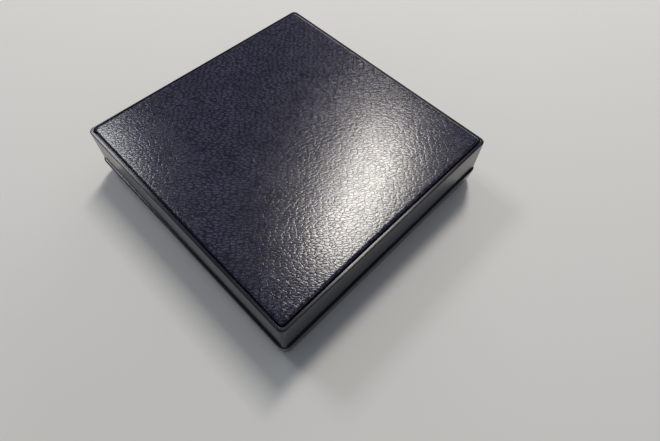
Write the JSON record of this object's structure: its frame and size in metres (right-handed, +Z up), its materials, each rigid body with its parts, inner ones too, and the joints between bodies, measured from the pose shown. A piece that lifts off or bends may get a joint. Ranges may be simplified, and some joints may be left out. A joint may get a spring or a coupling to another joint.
{
  "type": "rosin cake",
  "caption": "Round cake of bow rosin on a holding cloth, in a square hinged moulded case with a leather-grained panel on its lid.",
  "frame": {"origin": "centre of the case's flat underside", "axes": "+Z up through the lid with the case standing on its base, +Y towards the hinge, +X to the right when the opening side faces the user"},
  "size_m": [0.0636, 0.0686, 0.0148],
  "materials": {
    "case_plastic": "polished navy-black moulding",
    "panel_grain": "fine moulded leather grain, semi-gloss",
    "liner_flock": "flocked card",
    "cloth_velvet": "short-pile cotton velvet",
    "rosin": "glassy amber resin, lightly dusted",
    "pin_steel": "drawn steel wire",
    "pad_card": "grey-brown pulp card",
    "pad_foam": "open-cell foam",
    "pad_satin": "plain satin, ivory"
  },
  "bodies": {
    "base": {"base_shell": "case_plastic", "base_liner": "liner_flock", "rosin_cloth": "cloth_velvet", "rosin_cake": "rosin", "hinge_pin_left": "pin_steel", "hinge_pin_right": "pin_steel"},
    "lid": {"lid_shell": "case_plastic", "lid_panel": "panel_grain", "lid_card": "pad_card", "lid_foam": "pad_foam", "lid_satin": "pad_satin"}
  },
  "joints": [
    {"name": "lid_hinge", "type": "hinge", "parent": "base", "child": "lid", "pos_m": [0, 0.03415, 0.00528], "axis": [-1, 0, 0], "range_deg": [0, 105]}
  ]
}
